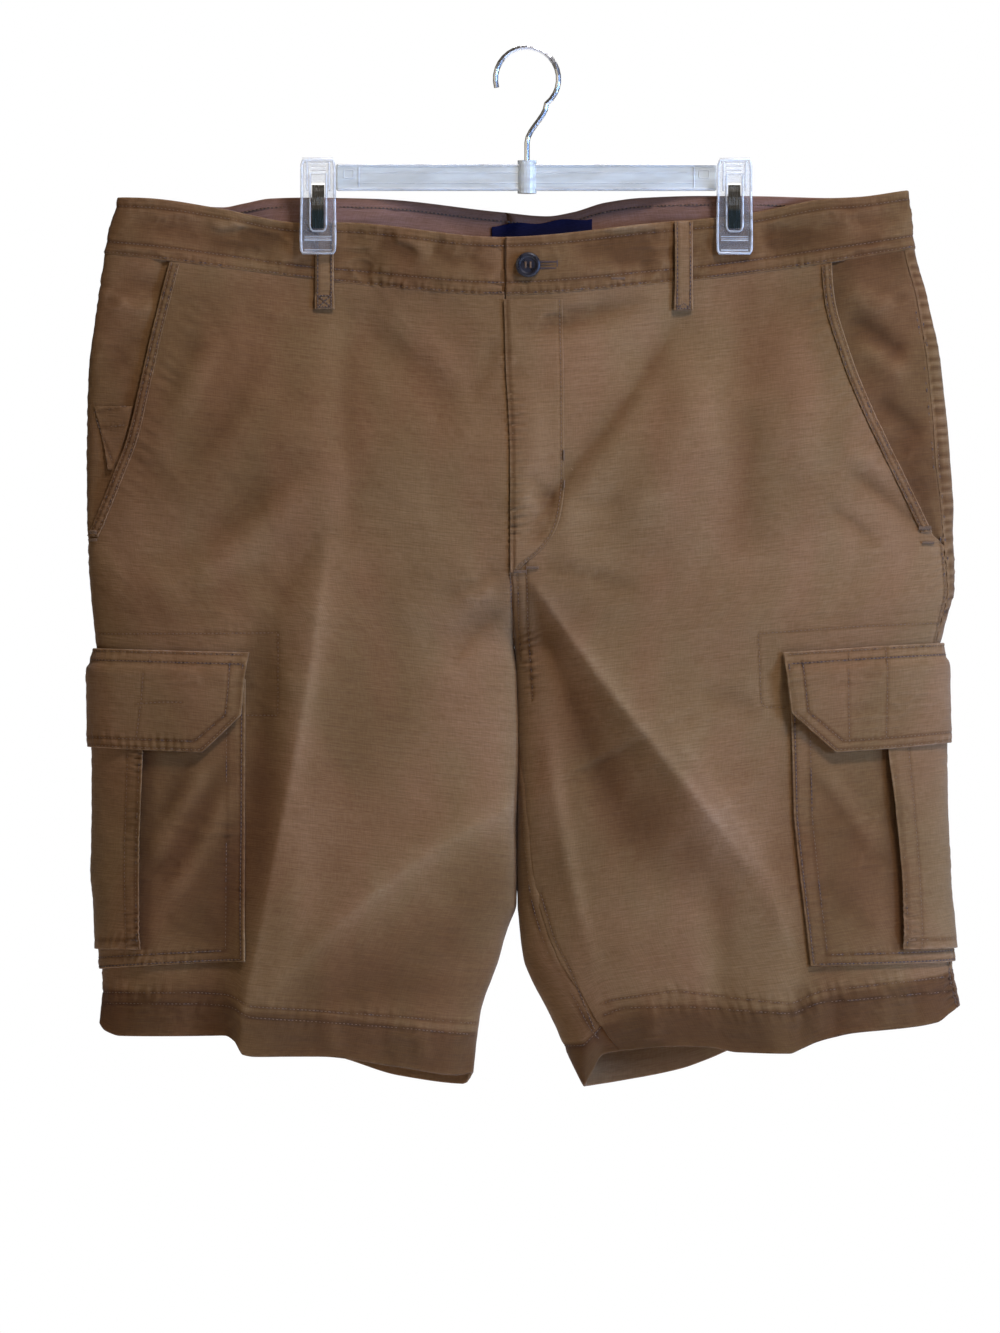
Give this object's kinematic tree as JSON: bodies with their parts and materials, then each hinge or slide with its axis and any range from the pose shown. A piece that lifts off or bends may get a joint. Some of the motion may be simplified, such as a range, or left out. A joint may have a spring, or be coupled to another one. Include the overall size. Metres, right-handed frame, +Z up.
{
  "type": "cargo shorts on a clip hanger",
  "caption": "Knee-length cotton cargo shorts with slant pockets, flapped side cargo pockets and belt loops, hung by the waistband from a clear clip hanger.",
  "frame": {"origin": "the inside of the hook's top, where a rod carries it", "axes": "+Z up, the garment's front faces -Y, the wearer's left is +X"},
  "size_m": [0.6036, 0.0878, 0.7195],
  "materials": {
    "twill": "slubbed cotton canvas, washed brown",
    "binding": "the same cotton, folded and stitched",
    "label": "dark woven label, bare",
    "button": "dark slate, satin",
    "clear_plastic": "clear polystyrene",
    "spring_steel": "flat spring steel",
    "hook_wire": "plated wire"
  },
  "bodies": {
    "root": {"front_right": "twill", "front_left": "twill", "back_right": "twill", "back_left": "twill", "waistband": "twill", "fly_placket": "twill", "pocket_facing_right": "twill", "pocket_facing_left": "twill", "pocket_binding_right": "binding", "pocket_binding_left": "binding", "coin_pocket": "twill", "cargo_pocket_right": "twill", "cargo_pocket_left": "twill", "cargo_pleat_right": "twill", "cargo_pleat_left": "twill", "cargo_flap_right": "twill", "cargo_flap_left": "twill", "belt_loop_front_right": "twill", "belt_loop_front_left": "twill", "belt_loop_side_right": "twill", "belt_loop_side_left": "twill", "belt_loop_back": "twill", "waist_label": "label", "button": "button", "hanger_bar": "clear_plastic", "clip_jaw_front_right": "clear_plastic", "clip_jaw_front_left": "clear_plastic", "clip_jaw_back_right": "clear_plastic", "clip_jaw_back_left": "clear_plastic", "clip_spring_right": "spring_steel", "clip_spring_left": "spring_steel", "hanger_hook": "hook_wire"}
  },
  "joints": []
}
